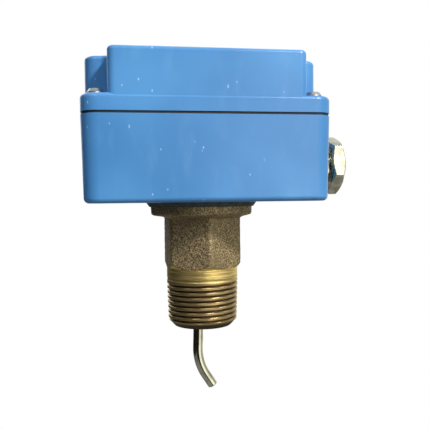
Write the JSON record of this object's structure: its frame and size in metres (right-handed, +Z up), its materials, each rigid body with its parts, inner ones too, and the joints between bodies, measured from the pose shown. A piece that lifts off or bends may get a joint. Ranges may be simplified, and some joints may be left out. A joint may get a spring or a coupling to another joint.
{
  "type": "paddle flow switch",
  "caption": "Blue cast enclosure with a cable gland on a screwed bronze body; a bellows-sealed bent lever swings with the flow and trips a snap switch.",
  "frame": {"origin": "on the pipe thread's axis, in the plane of the hexagon's underside", "axes": "+Z up along the thread's axis into the case, +X the way the lever's tip swings with the flow and towards the cable entry"},
  "size_m": [0.1231, 0.068, 0.1548],
  "materials": {
    "cast_bronze": "sand-cast bronze, machined neck and thread",
    "gasket_fibre": "grey-green pressed fibre, matte",
    "blue_enamel": "sky blue stoving enamel on die-cast metal, semi-gloss",
    "black_rubber": "black nitrile rubber, matte",
    "zinc_steel": "bright zinc-plated steel",
    "stainless_steel": "polished stainless steel",
    "machined_brass": "turned brass",
    "bellows_bronze": "thin phosphor bronze, satin",
    "black_phenolic": "moulded black phenolic, satin",
    "red_acetal": "red acetal",
    "spring_steel": "drawn spring steel",
    "nickel_brass": "nickel-plated brass"
  },
  "bodies": {
    "case": {"body_casting": "cast_bronze", "flange_gasket": "gasket_fibre", "enclosure_base": "blue_enamel", "body_screws": "zinc_steel", "chassis": "zinc_steel", "pivot_pin": "stainless_steel", "seal_ring": "machined_brass", "bellows": "bellows_bronze", "switch_case": "black_phenolic", "terminal_plates": "machined_brass", "terminal_screws": "zinc_steel", "switch_screws": "zinc_steel", "range_spring": "spring_steel", "earth_screw": "zinc_steel", "earth_washer": "zinc_steel", "gland_body": "nickel_brass", "gland_washer": "black_rubber", "gland_locknut": "nickel_brass", "gland_seal": "black_rubber"},
    "cover": {"enclosure_cover": "blue_enamel", "cover_gasket": "black_rubber", "cover_screws": "zinc_steel"},
    "lever": {"rocker": "machined_brass", "paddle_lever": "stainless_steel", "bellows_cap": "machined_brass"},
    "plunger": {"switch_plunger": "red_acetal"},
    "range_screw": {"range_screw": "zinc_steel", "range_clip": "spring_steel"},
    "range_nut": {"range_nut": "machined_brass"},
    "cap_nut": {"gland_cap_nut": "nickel_brass"}
  },
  "joints": [
    {"name": "paddle_swing", "type": "hinge", "parent": "case", "child": "lever", "pos_m": [0, 0, 0.041], "axis": [0, -1, 0], "range_deg": [0, 5], "stiffness_Nm_per_rad": 1.5, "springref_deg": -2.86, "deforming": ["bellows", "range_spring"]},
    {"name": "switch_press", "type": "slide", "parent": "case", "child": "plunger", "axis": [0, 0, 1], "range_m": [0, 0.0012]},
    {"name": "range_screw_turn", "type": "hinge", "parent": "case", "child": "range_screw", "pos_m": [0.0305, 0, 0.08], "axis": [0, 0, 1], "range_deg": [-1085, 1085]},
    {"name": "range_nut_travel", "type": "slide", "parent": "case", "child": "range_nut", "axis": [0, 0, 1], "range_m": [-0.0021, 0.0021]},
    {"name": "cover_lift", "type": "slide", "parent": "case", "child": "cover", "axis": [0, 0, 1], "range_m": [0, 0.05]},
    {"name": "cap_nut_turn", "type": "hinge", "parent": "case", "child": "cap_nut", "pos_m": [0.067, 0, 0.048], "axis": [1, 0, 0], "range_deg": [-60, 30]}
  ],
  "couplings": [
    {"joint": "switch_press", "follows": "paddle_swing", "m_per_rad": 0.012},
    {"joint": "range_screw_turn", "follows": "range_nut_travel", "rad_per_m": 8976}
  ]
}
